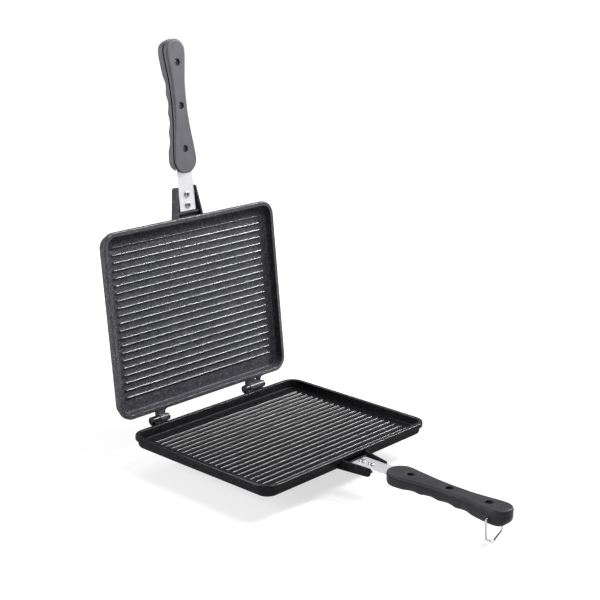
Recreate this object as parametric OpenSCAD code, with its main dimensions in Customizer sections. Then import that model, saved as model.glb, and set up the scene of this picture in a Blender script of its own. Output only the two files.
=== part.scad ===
// Double-sided flip pan: two cast griddle halves on a rear hinge. Each half carries a steel
// tang and a two-piece moulded handle, and a wire hanging loop swings under the lower handle.
// Origin at the centre of the lower half's flat underside: +Z up, the hinge axis along X on
// the +Y side, the handles towards -Y. Both halves are drawn as the lower one: the upper half
// is its mirror image in the rim plane, turned open about the hinge. A "drop" is a distance
// below the rim, and a "reach" is a distance beyond the handle side of the rim.

/* [Pan halves] */
// Width of a half over its rim, along the hinge
pan_w = 260; // [220:1:300]
// Depth of a half over its rim, from the hinge side to the handle side
pan_d = 205; // [170:1:240]
// Height of a half, from its flat underside to its rim
pan_h = 14.5; // [13:0.5:20]
// Corner radius of the rim, seen from above
corner_r = 17; // [13:0.5:30]
// Depth of the tray inside the rim
tray_depth = 9.8; // [7:0.1:10.5]
// Width of the flat rim
rim_w = 4.9; // [4:0.1:7]
// How far the tray's wall leans in between rim and floor
wall_lean = 1; // [0.4:0.1:2]
// Fillet where the tray's wall meets its floor
floor_fillet = 2; // [1:0.25:3]
// Height of the lip that runs round the rim
lip_h = 5.6; // [4:0.1:7]
// How far the lip stands out over the wall below it
lip_overhang = 2.9; // [1.5:0.1:3.5]
// Rounding of the rim's outer edge
rim_round = 1.5; // [0.5:0.25:2]
// Fillet round the foot of the outer wall
foot_fillet = 4.5; // [2:0.25:6]
// How far the outer wall leans in between lip and foot
foot_lean = 0.5; // [0.2:0.1:1]

/* [Griddle ribs] */
// Distance between neighbouring ribs
rib_pitch = 8.25; // [6:0.25:14]
// Height of a rib above the floor
rib_h = 1.9; // [1:0.1:3]
// Width of a rib at the floor
rib_foot = 3.4; // [2.4:0.1:4.5]
// Width of a rib at its crest
rib_crest = 1.2; // [0.8:0.1:2]
// Distance from the hinge side of the rim to the first rib
rib_first = 22.7; // [16:0.1:30]
// Least distance from the last rib to the handle side of the rim
rib_margin = 16.8; // [14:0.1:24]
// Distance from a rib's end to the side of the rim
rib_end_gap = 16.3; // [12:0.1:24]

/* [Hinge] */
// Distance of the hinge axis beyond the hinge side of the rim
hinge_reach = 8.75; // [8:0.25:12]
// Gap between the two rims when the pan is shut
rim_gap = 0.3; // [0.2:0.1:1]
// Angle by which the upper half stands open, resting on its stops
lid_open = 97.4; // [80:0.1:110]
// Radius of the hinge barrels
barrel_r = 4.85; // [4.25:0.05:5.5]
// Radius of the hinge pins
pin_r = 2.5; // [1.5:0.05:3]
// Radial running clearance of the pins in the upper half's barrels
pin_clear = 0.06; // [0.02:0.01:0.1]
// Gap between the end faces of neighbouring barrels
barrel_gap = 0.5; // [0.3:0.1:1]
// Length of the lower half's left barrel
lower_left_barrel = 10.5; // [6:0.1:14]
// Length of the lower half's right barrel
lower_right_barrel = 7; // [6:0.1:12]
// Length of the upper half's left barrel
left_barrel = 11.2; // [8:0.1:16]
// Length of the upper half's right barrel
right_barrel = 22.2; // [17:0.1:24]
// Distance of the left hinge from the middle, to the joint between its barrels
left_hinge = 79; // [60:0.5:90]
// Distance of the right hinge from the middle, to the joint between its barrels
right_hinge = 63; // [50:0.5:75]
// Sideways flare of the lower half's arms where they meet the lip
arm_flare = 5.5; // [2:0.5:7]
// Sideways flare of the upper half's arms on the side of the lower barrels
inner_flare = 1; // [0:0.5:5]
// Sideways flare of the upper half's arms on the other side
outer_flare = 3.5; // [0:0.5:5]
// How far up the arm its flare reaches
flare_reach = 3.3; // [1:0.1:3.5]
// Width of the window in the arm of the upper half's right hinge
window_w = 6; // [4:0.1:8]
// Height of that window, from the lip
window_h = 2.8; // [1.5:0.1:3.5]
// Distance of the window from the barrel's outer end
window_wall = 4; // [2:0.1:6]
// Radius of a pin's head
pin_head_r = 4.1; // [3.5:0.1:5]
// Length of a pin's head
pin_head = 3.4; // [2:0.1:5]
// Thickness of the stop shelf under each barrel of the upper half
shelf_t = 3; // [2:0.1:4]
// Thickness of the heel that comes to rest on the shelf
heel_t = 3.2; // [2:0.1:4]

/* [Handle bracket] */
// Reach of the bracket
bracket_reach = 33.5; // [29:0.1:40]
// Thickness of the bracket's cheeks
cheek_t = 2.6; // [2:0.1:4]
// Half the bracket's width where it leaves the lip
bracket_root_hw = 20; // [18:0.5:28]
// Drop of the cheeks' top edge at the rim
cheek_drop = 2.7; // [1:0.1:4]
// Drop of the cheeks' top edge at their outer end
cheek_end_drop = 4.5; // [1:0.1:5]
// Height of the cheeks' lower edge above the underside
cheek_lift = 0.6; // [0.2:0.1:2]
// Rounding of the cheeks' lower outer corner
cheek_round = 3; // [0.5:0.5:8]
// Drop of the shoulder between the rim and the tang
shoulder_drop = 5.2; // [4:0.1:5.8]
// Width of that shoulder, towards the tang
shoulder_w = 2.6; // [1:0.1:4]
// Thickness of the web that the tang lies on
web_t = 3.2; // [2:0.1:4]
// Radius of the screw bosses behind the web
boss_r = 4.6; // [3.5:0.1:6]

/* [Tang] */
// Width of the tang where it shows
tang_w = 23.3; // [18:0.1:26]
// Thickness of the tang
tang_t = 2; // [1.5:0.1:3]
// Drop of the tang's front face
tang_drop = 6; // [5.5:0.1:7]
// Reach at which the tang starts
tang_start = 6.2; // [4:0.1:8]
// Side clearance of the tang in the bracket and in the handle
tang_clear = 0.35; // [0.2:0.05:0.6]
// Width of the tang inside the handle
tang_inner_w = 13; // [9:0.5:15]
// Reach of the first tang screw
tang_screw_first = 12.2; // [11:0.1:14]
// Distance between the two tang screws
tang_screw_pitch = 12; // [9:0.1:13]
// Radius of a tang screw's shank
tang_screw_r = 2; // [1.5:0.1:2.5]
// Radius of a tang screw's head
tang_head_r = 3.7; // [3:0.1:4.5]
// Height of a tang screw's head
tang_head_h = 1.9; // [1.2:0.1:2.5]

/* [Handle] */
// Reach at which the handle starts
handle_start = 48.3; // [42:0.1:60]
// Length of the handle
handle_l = 147.2; // [130:0.1:170]
// Half width of the lobe next to the pan
near_hw = 16.3; // [14:0.1:18]
// Half width of the waist
waist_hw = 9.9; // [9:0.1:12]
// Half width of the far lobe
far_hw = 13.9; // [11.5:0.1:16]
// Distance of the waist from the handle's start
waist_at = 88; // [75:1:95]
// Length of the round end next to the pan
near_cap = 16; // [13:0.5:20]
// Length of the round far end
far_cap = 13.3; // [11:0.1:16]
// Drop of the handle's flat front face
front_drop = 1.6; // [0.5:0.1:2.5]
// Drop of the handle's back at the near lobe
near_back = 15.3; // [15:0.1:18]
// Drop of the handle's back at the far lobe
far_back = 18.7; // [16:0.1:20]
// Distance from the handle's start to where the back begins to drop
back_bend = 45; // [20:1:80]
// Rounding of the front edge
front_round = 2; // [0.8:0.1:2.5]
// Rounding of the back edge
back_round = 4.6; // [3:0.1:5]
// Rounding of the back towards the pan, seen from the side
start_round = 9; // [5:0.5:10]
// Rounding of the back at the handle's far end, seen from the side
far_round = 8; // [5:0.5:9]
// Drop of the seam between cover and body at the handle's start
seam_start = 4.3; // [4:0.1:5.5]
// Drop of the seam at the handle's far end
seam_end = 9.1; // [7:0.1:9.5]
// Width of the groove along the seam
groove_w = 1; // [0.3:0.1:1.2]
// Depth of the groove along the seam
groove_d = 0.9; // [0.3:0.1:1]
// Depth of the finger scallops in the back edge
scallop_depth = 1.6; // [0:0.1:2]
// Distance between the finger scallops
scallop_pitch = 9.6; // [8:0.1:14]
// Number of finger scallops
scallop_count = 7; // [3:1:8]

/* [Handle screws] */
// Distance from the handle's start to the first screw
screw_first = 26.9; // [25:0.1:32]
// Distance between the handle screws
screw_pitch = 47.4; // [35:0.1:48]
// Radius of the recess over a screw's head
recess_r = 4; // [3.6:0.1:4.5]
// Thickness of cover left under a screw's head
under_head = 1.4; // [1:0.1:2]
// Radius of a screw's head
head_r = 3.4; // [2.8:0.1:3.5]
// Height of a screw's head
head_h = 1.5; // [1:0.1:2]
// Radius of a screw's shank
shank_r = 1.7; // [1.2:0.1:2]
// Length of a screw below its head
shank_l = 9; // [7:0.5:9]
// Radial clearance of a shank in the tang and the cover
shank_clear = 0.35; // [0.2:0.05:0.5]

/* [Hanging loop] */
// Radius of the loop's wire
wire_r = 1.1; // [0.8:0.05:1.4]
// Radial running clearance of the wire in the handle
wire_clear = 0.08; // [0.02:0.01:0.1]
// Distance of the loop's pivot from the handle's far end
pivot_inset = 16.3; // [12:0.1:18]
// Drop of the loop's pivot
pivot_drop = 11.2; // [11:0.1:12]
// How deep the wire's ends reach into the handle
wire_grip = 5; // [3:0.5:7]
// Gap between the handle's sides and the loop's legs
leg_gap = 3.2; // [1:0.1:5]
// Length of the loop's legs
leg_l = 22.9; // [18:0.1:30]
// Distance between the legs at their lower ends
leg_foot = 25.8; // [12:0.1:30]
// Length of the pointed end below the legs
point_l = 7.3; // [4:0.1:12]
// Angle by which the loop hangs swung towards the pan
loop_swing = 5; // [0:1:20]

/* [Hidden] */
$fn = 64;

overlap = 1;

// Plan of the rim: centres of its corner arcs
corner_x = pan_w / 2 - corner_r;
corner_y = pan_d / 2 - corner_r;
floor_z = pan_h - tray_depth;
lip_z = pan_h - lip_h;

// Ribs, counted from the depth that is free for them
rib_count = floor((pan_d - rib_first - rib_margin) / rib_pitch) + 1;
rib_hl = pan_w / 2 - rib_end_gap;
rib_root = 0.5;
lug_in = rim_round + overlap;

// Hinge axis and the ends of the barrels along it
hinge_y = pan_d / 2 + hinge_reach;
hinge_z = pan_h + rim_gap / 2;
lower_ends = [-left_hinge, right_hinge];
upper_starts = [-left_hinge + barrel_gap, right_hinge + barrel_gap];
lower_lengths = [lower_left_barrel, lower_right_barrel];
upper_lengths = [left_barrel, right_barrel];
stop_gap = 0.05;
shelf_gap = 0.5;
shelf_y = hinge_y - 1;
pin_end_recess = 0.6;
pin_lead = 0.4;
head_edge = 0.8;
head_gap = 0.15;

// Handle side of the pan: heights of what lies on the bracket
tang_front_z = pan_h - tang_drop;
tang_back_z = tang_front_z - tang_t;
bracket_end_hw = tang_w / 2 + tang_clear + cheek_t;
web_short = 2;
shoulder_gap = 0.6;
boss_foot_z = 1.2;

// Screws: chamfer of the point, then shares of the head's height and radius
screw_point = 0.5;
head_side = 0.4;
cross_foot = 0.35;
cross_l = 1.1;
cross_w = 0.26;

// Places along the handle
handle_y = -pan_d / 2 - handle_start;
tang_narrow_at = 10;
tang_narrow_to = 22;
tang_end_gap = 8;
near_at = 10;
tip_hw = 1.2;
shut_clear = 0.05;
key_clear = 0.25;
key_lead = 4;
key_edge = 0.3;
edge_least = 0.3;
hole_spare = 0.5;
waist_end = handle_l - far_cap;
scallop_from = (near_cap + waist_end + screw_first) / 2 - scallop_count * scallop_pitch / 2 - overlap;
pivot_s = handle_l - pivot_inset;

// Rounded corner as points: centre, radius, first and last angle
function arc(c, r, a0, a1, n = 5) =
    [for (i = [0:n]) let (a = a0 + (a1 - a0) * i / n) c + r * [cos(a), sin(a)]];

// Half section of the solid half pan, drawn outwards from the centre of a rim corner
module outer_section() {
    foot_x = corner_r - lip_overhang - foot_lean;
    polygon(concat([[0, 0]],
        arc([foot_x - foot_fillet, foot_fillet], foot_fillet, -90, 0, 6),
        [[corner_r - lip_overhang, lip_z], [corner_r, lip_z]],
        arc([corner_r - rim_round, pan_h - rim_round], rim_round, 0, 90, 4),
        [[0, pan_h]]));
}

// Half section of the tray that is cut out of it
module tray_section() {
    wall_x = corner_r - rim_w;
    foot_x = wall_x - wall_lean;
    polygon(concat([[0, floor_z]],
        arc([foot_x - floor_fillet, floor_z + floor_fillet], floor_fillet, -90, 0),
        [[wall_x, pan_h], [wall_x, pan_h + overlap], [0, pan_h + overlap]]));
}

// Carries a half section round the plan of the rim, with a block from z0 to z1 in the middle
module round_the_rim(z0, z1) {
    for (q = [0:3]) {
        a = q % 2 == 0 ? corner_x : corner_y;
        b = q % 2 == 0 ? corner_y : corner_x;
        rotate([0, 0, 90 * q]) translate([a, b, 0]) {
            rotate_extrude(angle = 90) children();
            rotate([90, 0, 0]) linear_extrude(2 * b) children();
        }
    }
    translate([-corner_x, -corner_y, z0]) cube([2 * corner_x, 2 * corner_y, z1 - z0]);
}

// One rib lying along X: a straight run with round ends
module rib() {
    half = [[0, -rib_root], [rib_foot / 2, -rib_root], [rib_foot / 2, 0],
        [rib_crest / 2, rib_h - rib_crest / 4], [rib_crest / 4, rib_h], [0, rib_h]];
    for (side = [0, 180])
        rotate([0, 0, side]) translate([rib_hl - rib_foot / 2, 0, 0])
            rotate([0, 0, -90]) rotate_extrude(angle = 180) polygon(half);
    translate([-rib_hl + rib_foot / 2, 0, 0]) rotate([90, 0, 90])
        linear_extrude(2 * rib_hl - rib_foot) {
            polygon(half);
            mirror([1, 0]) polygon(half);
        }
}

module ribs() {
    for (i = [0:rib_count - 1])
        translate([0, pan_d / 2 - rib_first - i * rib_pitch, floor_z]) rib();
}

// Plan of one side of an arm, from the barrel to the lip: a hollow curve, or straight
function arm_side(x, flare) = concat(
    [for (a = [90:-30:0]) [x + flare * (1 - sin(a)), pan_d / 2 + flare_reach * (1 - cos(a))]],
    [[x + flare, pan_d / 2 - lug_in]]);

// Solid hinge barrel from x0 over a length, with an arm to the lip that flares on both sides
module hinge_lug(x0, len, flare_left, flare_right) {
    left = arm_side(x0, -flare_left);
    right = arm_side(x0 + len, flare_right);
    translate([x0, hinge_y, hinge_z]) rotate([0, 90, 0]) cylinder(r = barrel_r, h = len);
    translate([0, 0, lip_z]) linear_extrude(lip_h) polygon(concat([[x0, hinge_y]], left,
        [for (i = [len(right) - 1:-1:0]) right[i]], [[x0 + len, hinge_y]]));
}

module hinge_bore(r) {
    translate([-pan_w / 2, hinge_y, hinge_z]) rotate([0, 90, 0]) cylinder(r = r, h = pan_w);
}

// Cast shelf below a barrel of the upper half: its end face is the stop
module stop_shelf(x0, len) {
    top_z = hinge_z - barrel_r - shelf_gap;
    root_y = pan_d / 2 - rim_w;
    translate([x0, root_y, top_z - shelf_t]) cube([len, shelf_y - root_y, shelf_t]);
}

// Heel below a barrel of the upper half, in the open position
module stop_heel(x0, len) {
    low_z = hinge_z - barrel_r - shelf_gap - shelf_t;
    translate([x0, shelf_y + stop_gap, low_z])
        cube([len, heel_t, hinge_z - pin_r - pin_clear - overlap / 2 - low_z]);
}

// Two flared cheeks, the web that the tang lies on and the screw bosses behind it
module bracket() {
    root_y = -pan_d / 2 + rim_w;
    end_y = -pan_d / 2 - bracket_reach;
    top_z = pan_h - cheek_drop;
    intersection() {
        rotate([90, 0, 90]) linear_extrude(2 * bracket_root_hw, center = true)
            polygon(concat([[root_y, cheek_lift], [root_y, top_z], [-pan_d / 2, top_z],
                [end_y, pan_h - cheek_end_drop]],
                [for (p = arc([0, 0], cheek_round, 180, 270))
                    [end_y + cheek_round + p[0], cheek_lift + cheek_round + p[1]]]));
        for (side = [-1, 1]) linear_extrude(pan_h) polygon([
            [side * bracket_root_hw, root_y], [side * bracket_root_hw, -pan_d / 2],
            [side * bracket_end_hw, end_y], [side * (bracket_end_hw - cheek_t), end_y],
            [side * (bracket_root_hw - cheek_t), -pan_d / 2],
            [side * (bracket_root_hw - cheek_t), root_y]]);
    }
    translate([0, 0, tang_back_z - web_t]) linear_extrude(web_t) polygon([
        [-bracket_root_hw + overlap, root_y], [-bracket_root_hw + overlap, -pan_d / 2],
        [-bracket_end_hw + overlap, end_y + web_short], [bracket_end_hw - overlap, end_y + web_short],
        [bracket_root_hw - overlap, -pan_d / 2], [bracket_root_hw - overlap, root_y]]);
    translate([-bracket_root_hw + cheek_t / 2, -pan_d / 2 - tang_start + shoulder_gap,
        tang_back_z - overlap])
        cube([2 * bracket_root_hw - cheek_t, shoulder_w,
            pan_h - shoulder_drop - tang_back_z + overlap]);
    for (i = [0, 1])
        translate([0, tang_screw_y(i), boss_foot_z]) cylinder(r = boss_r, h = tang_back_z - boss_foot_z);
}

function tang_screw_y(i) = -pan_d / 2 - tang_screw_first - i * tang_screw_pitch;
function handle_screw_y(i) = handle_y - screw_first - i * screw_pitch;

// A half pan without its hinge parts
module half_pan() {
    difference() {
        union() {
            round_the_rim(0, pan_h) outer_section();
            bracket();
            children();
        }
        round_the_rim(floor_z, pan_h + overlap) tray_section();
        for (i = [0, 1])
            translate([0, tang_screw_y(i), -overlap]) cylinder(r = tang_screw_r, h = pan_h);
    }
    ribs();
}

// Puts what is drawn as part of a lower half into the open upper half
module as_upper() {
    translate([0, hinge_y, hinge_z]) rotate([-lid_open, 0, 0]) mirror([0, 0, 1])
        translate([0, -hinge_y, -hinge_z]) children();
}

module lower_pan() {
    color("#2b2b2f") difference() {
        half_pan() {
            for (h = [0, 1]) {
                hinge_lug(lower_ends[h] - lower_lengths[h], lower_lengths[h], arm_flare, 0);
                stop_shelf(upper_starts[h] + barrel_gap, upper_lengths[h] - 2 * barrel_gap);
            }
        }
        hinge_bore(pin_r);
    }
}

module upper_pan() {
    color("#4b4b50") difference() {
        union() {
            as_upper() difference() {
                half_pan() {
                    for (h = [0, 1]) hinge_lug(upper_starts[h], upper_lengths[h], inner_flare, outer_flare);
                }
                translate([upper_starts[1] + right_barrel - window_wall - window_w, pan_d / 2,
                    lip_z - overlap])
                    cube([window_w, window_h, lip_h + barrel_r]);
            }
            for (h = [0, 1])
                stop_heel(upper_starts[h] + barrel_gap, upper_lengths[h] - 2 * barrel_gap);
        }
        hinge_bore(pin_r + pin_clear);
    }
}

// Pin held in the lower barrel, with its head beyond the upper half's barrel
module hinge_pin(h) {
    start_x = lower_ends[h] - lower_lengths[h] + pin_end_recess;
    head_x = upper_starts[h] + upper_lengths[h] + head_gap;
    color("#3a3a3d") translate([start_x, hinge_y, hinge_z]) rotate([0, 90, 0])
        rotate_extrude() polygon(concat(
            [[0, 0], [pin_r - pin_lead, 0], [pin_r, pin_lead], [pin_r, head_x - start_x],
                [pin_head_r, head_x - start_x]],
            arc([pin_head_r - head_edge, head_x - start_x + pin_head - head_edge], head_edge, 0, 90, 4),
            [[0, head_x - start_x + pin_head]]));
}

// Plan of the tang: wide where it shows, narrow inside the handle, grown by a clearance
module tang_plan(grow) {
    start_y = -pan_d / 2 - tang_start + grow;
    end_y = handle_y - handle_l + tang_end_gap - grow;
    wide = tang_w / 2 + grow;
    slim = tang_inner_w / 2 + grow;
    polygon([[-wide, start_y], [wide, start_y], [wide, handle_y - tang_narrow_at],
        [slim, handle_y - tang_narrow_to], [slim, end_y], [-slim, end_y],
        [-slim, handle_y - tang_narrow_to], [-wide, handle_y - tang_narrow_at]]);
}

module tang() {
    color("#d8d8dc") difference() {
        translate([0, 0, tang_back_z]) linear_extrude(tang_t) tang_plan(0);
        for (i = [0, 1]) translate([0, tang_screw_y(i), tang_back_z - overlap])
            cylinder(r = tang_screw_r + shank_clear, h = tang_t + 2 * overlap);
        for (i = [0:2]) translate([0, handle_screw_y(i), tang_back_z - overlap])
            cylinder(r = shank_r + shank_clear, h = tang_t + 2 * overlap);
    }
}

// Screw standing on its seat at the origin: low domed head, cross recess, plain shank below
module screw(r_head, h_head, r_shank, l_shank) {
    side_h = head_side * h_head;
    color("#c4c4ca") difference() {
        rotate_extrude() polygon(concat(
            [[0, -l_shank], [r_shank - screw_point, -l_shank], [r_shank, screw_point - l_shank],
                [r_shank, 0], [r_head, 0]],
            [for (a = [0:18:72]) [r_head * cos(a), side_h + (h_head - side_h) * sin(a)]],
            [[0, h_head]]));
        for (turn = [0, 90]) rotate([0, 0, turn])
            translate([-r_head * cross_l / 2, -r_head * cross_w / 2, h_head * cross_foot])
                cube([r_head * cross_l, r_head * cross_w, h_head]);
    }
}

module tang_screw(i) {
    translate([0, tang_screw_y(i), tang_front_z])
        screw(tang_head_r, tang_head_h, tang_screw_r, tang_front_z - boss_foot_z);
}

module handle_screw(i) {
    translate([0, handle_screw_y(i), tang_front_z + under_head])
        screw(head_r, head_h, shank_r, shank_l);
}

// Smooth step from 0 to 1
function ease(t) = let (c = min(1, max(0, t))) c * c * (3 - 2 * c);
// Share of the near lobe, then of the far lobe, at a distance s along the handle
function near_share(s) = s > waist_at ? 0
    : ease(pow(min(1, (waist_at - s) / (waist_at - near_at)), 1.4));
function far_share(s) = s < waist_at ? 0 : ease(pow((s - waist_at) / (waist_end - waist_at), 1.2));
// Shortening of the width towards the round ends, on a plan drawn in by an inset
function cap(s, inset) =
    s < near_cap ? sqrt(max(0, 1 - pow((near_cap - s) / (near_cap - inset), 2)))
    : s > waist_end ? sqrt(max(0, 1 - pow((s - waist_end) / (far_cap - inset), 2))) : 1;
function half_w(s, inset = 0) = max(tip_hw - inset / 2, cap(s, inset) * (waist_hw - inset
    + (near_hw - waist_hw) * near_share(s) + (far_hw - waist_hw) * far_share(s)));
// Drops of the back and of the seam
function back_at(s) = near_back + (far_back - near_back) * ease((s - back_bend) / (waist_end - back_bend));
function seam_at(s) = seam_start + (seam_end - seam_start) * s / handle_l;
// How far an edge of radius r draws in at a distance d from the handle's end
function end_round(d, r) = d >= r ? 0 : r - sqrt(r * r - pow(r - d, 2));
function back_end(s) = end_round(s, start_round) + end_round(handle_l - s, far_round);
// Lower edge of the cover's side above the groove, and the rounding of the front edge there
function step_at(s) = seam_at(s) - shut_clear - groove_w;
function edge_r(s) = min(front_round, step_at(s) - front_drop - edge_least);
// Half width of the cover's key, which fills the body's slot in front of the tang
function key_w(s) = let (share = (tang_narrow_to - key_lead - s) / (tang_narrow_to - tang_narrow_at))
    min(half_w(s, groove_d) - key_edge, tang_clear - key_clear
        + (tang_inner_w + (tang_w - tang_inner_w) * min(1, max(0, share))) / 2);
// Depth of the finger scallops, which lie side by side along the waist
function scallop_at(s) = let (t = (s - scallop_from) / scallop_pitch)
    t < 0 || t > scallop_count ? 0 : scallop_depth * (0.5 - 0.5 * cos(360 * t));

// Stations along the handle, closer together on the round ends
function stations(steps) = concat(
    [for (a = [0:15:75]) near_cap * (1 - cos(a))],
    [for (i = [0:steps]) near_cap + (waist_end - near_cap) * i / steps],
    [for (a = [15:15:90]) waist_end + far_cap * sin(a)]);

// Section of the body below the seam, as [x, drop] points
function body_section(s) = let (
        w = half_w(s),
        r = min(back_round + scallop_at(s), 0.95 * w),
        low = back_at(s) - back_end(s))
    concat([[w, seam_at(s)]],
        arc([w - r, low - r], r, 0, 90, 4),
        arc([r - w, low - r], r, 90, 180, 4),
        [[-w, seam_at(s)]]);

// Section of the cover above the seam: groove in its lower edge, key down to the tang below
function cover_section(s) = let (
        w = half_w(s),
        v = half_w(s, groove_d),
        k = key_w(s),
        top = front_drop + end_round(min(s, handle_l - s), edge_r(s)),
        low = seam_at(s) - shut_clear,
        step = step_at(s),
        key = max(tang_drop + key_edge, low + shut_clear / 2),
        r = min(edge_r(s), 0.9 * w, step - top - edge_least / 2))
    concat(arc([w - r, top + r], r, -90, 0, 4),
        [[w, step], [v, step], [v, low], [k, low], [k, key],
            [-k, key], [-k, low], [-v, low], [-v, step], [-w, step]],
        arc([r - w, top + r], r, 180, 270, 4));

// Skin over a row of sections, each a ring of the same number of points
module loft(at, rings) {
    k = len(rings[0]);
    m = len(rings);
    polyhedron(
        points = [for (i = [0:m - 1], p = rings[i]) [p[0], handle_y - at[i], pan_h - p[1]]],
        faces = concat([[for (j = [k - 1:-1:0]) j]], [[for (j = [0:k - 1]) (m - 1) * k + j]],
            [for (i = [0:m - 2], j = [0:k - 1], t = [0, 1]) let (
                a = i * k + j, b = i * k + (j + 1) % k, c = b + k, d = a + k)
                t == 0 ? [d, a, b] : [d, b, c]]),
        convexity = 6);
}

// Half of the handle behind the tang: slot, screw holes and, if asked, the loop's holes
module handle_body(with_loop) {
    at = stations(72);
    color("#3c3c3f") difference() {
        loft(at, [for (s = at) body_section(s)]);
        translate([0, 0, tang_back_z]) linear_extrude(pan_h) tang_plan(tang_clear);
        for (i = [0:2]) translate([0, handle_screw_y(i), tang_front_z + under_head - shank_l - hole_spare])
            cylinder(r = shank_r, h = pan_h);
        if (with_loop) for (side = [0, 180])
            translate([0, handle_y - pivot_s, pan_h - pivot_drop]) rotate([0, 90, side])
                translate([0, 0, half_w(pivot_s) - wire_grip - hole_spare])
                    cylinder(r = wire_r + wire_clear, h = wire_grip + 2 * overlap);
    }
}

// Half of the handle in front of the tang, with the recesses for the screws' heads
module handle_cover() {
    at = stations(24);
    color("#4a4a4e") difference() {
        loft(at, [for (s = at) cover_section(s)]);
        translate([0, 0, -pan_h]) linear_extrude(tang_front_z + pan_h) tang_plan(tang_clear);
        for (i = [0:2]) translate([0, handle_screw_y(i), 0]) {
            cylinder(r = shank_r + shank_clear, h = pan_h);
            translate([0, 0, tang_front_z + under_head]) cylinder(r = recess_r, h = pan_h);
        }
    }
}

// Corners of a path cut short by a length and rounded by a curve through them
function rounded(path, cut, n = 4) = [for (i = [0:len(path) - 1])
    each i == 0 || i == len(path) - 1 ? [path[i]] : let (
        p = path[i],
        a = p + cut * (path[i - 1] - p) / norm(path[i - 1] - p),
        b = p + cut * (path[i + 1] - p) / norm(path[i + 1] - p))
        [for (j = [0:n]) let (t = j / n) (1 - t) * (1 - t) * a + 2 * t * (1 - t) * p + t * t * b]];

// Wire bent in one plane along a path of [x, drop] points
module bent_wire(path, r, sides = 12) {
    m = len(path);
    dirs = [for (i = [0:m - 1]) let (d = path[min(m - 1, i + 1)] - path[max(0, i - 1)]) d / norm(d)];
    polyhedron(
        points = [for (i = [0:m - 1], k = [0:sides - 1]) let (a = 360 * k / sides)
            [path[i][0] - r * cos(a) * dirs[i][1], r * sin(a), -path[i][1] - r * cos(a) * dirs[i][0]]],
        faces = concat([[for (k = [0:sides - 1]) k]],
            [[for (k = [sides - 1:-1:0]) (m - 1) * sides + k]],
            [for (i = [0:m - 2], k = [0:sides - 1], t = [0, 1]) let (
                a = i * sides + k, b = i * sides + (k + 1) % sides, c = b + sides, d = a + sides)
                t == 0 ? [a, d, b] : [b, d, c]]));
}

// Steel wire loop with both ends turned into the sides of the lower handle
module hanging_loop() {
    side_x = half_w(pivot_s);
    leg_x = side_x + leg_gap + wire_r;
    path = [[-side_x - wire_r / 2, 0], [-leg_x, 0], [-leg_foot / 2, leg_l], [0, leg_l + point_l],
        [leg_foot / 2, leg_l], [leg_x, 0], [side_x + wire_r / 2, 0]];
    color("#d2d2d6") translate([0, handle_y - pivot_s, pan_h - pivot_drop]) rotate([loop_swing, 0, 0]) {
        bent_wire(rounded(path, 2), wire_r * 0.985);
        for (side = [0, 180]) rotate([0, 90, side]) translate([0, 0, side_x - wire_grip])
            cylinder(r = wire_r, h = wire_grip + wire_r);
    }
}

lower_pan();
upper_pan();
hinge_pin(0);  // left_hinge_pin
hinge_pin(1);  // right_hinge_pin
tang();  // lower_tang
as_upper() tang();  // upper_tang
tang_screw(0);  // lower_tang_screw_1
tang_screw(1);  // lower_tang_screw_2
as_upper() tang_screw(0);  // upper_tang_screw_1
as_upper() tang_screw(1);  // upper_tang_screw_2
handle_body(true);  // lower_handle_body
handle_cover();  // lower_handle_cover
as_upper() handle_body(false);  // upper_handle_body
as_upper() handle_cover();  // upper_handle_cover
handle_screw(0);  // lower_handle_screw_1
handle_screw(1);  // lower_handle_screw_2
handle_screw(2);  // lower_handle_screw_3
as_upper() handle_screw(0);  // upper_handle_screw_1
as_upper() handle_screw(1);  // upper_handle_screw_2
as_upper() handle_screw(2);  // upper_handle_screw_3
hanging_loop();
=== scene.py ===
# %% [markdown]
# # A double-sided flip pan
#
# Two ribbed griddle halves, cast in aluminium and sprayed with a flecked nonstick coat, are
# hinged along the back. Each half carries a steel strip with a two-piece moulded handle
# closed over it, and a wire loop hangs under the lower handle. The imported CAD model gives
# the frame: every piece here is built in metres where the CAD has it, and rides on the CAD
# body that carries it.

# %% Load the frame
import math

import bmesh
import bpy
import numpy as np
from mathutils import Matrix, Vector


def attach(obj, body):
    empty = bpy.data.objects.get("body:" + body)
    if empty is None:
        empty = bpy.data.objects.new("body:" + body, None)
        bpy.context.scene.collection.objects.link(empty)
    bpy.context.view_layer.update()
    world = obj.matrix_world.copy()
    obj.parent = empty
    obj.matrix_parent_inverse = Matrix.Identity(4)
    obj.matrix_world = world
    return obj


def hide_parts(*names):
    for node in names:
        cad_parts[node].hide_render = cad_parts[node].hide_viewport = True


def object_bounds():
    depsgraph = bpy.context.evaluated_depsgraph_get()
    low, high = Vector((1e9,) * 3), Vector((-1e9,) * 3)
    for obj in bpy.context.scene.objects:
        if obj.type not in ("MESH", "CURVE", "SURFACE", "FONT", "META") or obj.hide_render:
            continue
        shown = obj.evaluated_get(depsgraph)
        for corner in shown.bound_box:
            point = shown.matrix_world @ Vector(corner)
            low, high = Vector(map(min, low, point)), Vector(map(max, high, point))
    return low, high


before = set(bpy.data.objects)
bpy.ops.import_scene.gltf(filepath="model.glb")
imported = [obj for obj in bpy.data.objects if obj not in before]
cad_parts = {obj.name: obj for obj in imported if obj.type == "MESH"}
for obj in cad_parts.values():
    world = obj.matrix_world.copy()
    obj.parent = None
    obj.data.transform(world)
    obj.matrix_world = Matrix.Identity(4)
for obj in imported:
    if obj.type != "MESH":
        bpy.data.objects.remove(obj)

cad_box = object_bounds()
MM = 0.001

# %% [markdown]
# ## The camera
#
# The picture was taken with a short telephoto lens from the front left, a little above the
# pan. A camera can be placed by eye, or solved for from straight edges whose proportions are
# known. Here it is solved: place, turn and focal length come out together, and the small
# roll and the lens shift are kept, because they put both halves, the hinge and both handles
# on the same lines as in the picture.

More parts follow.
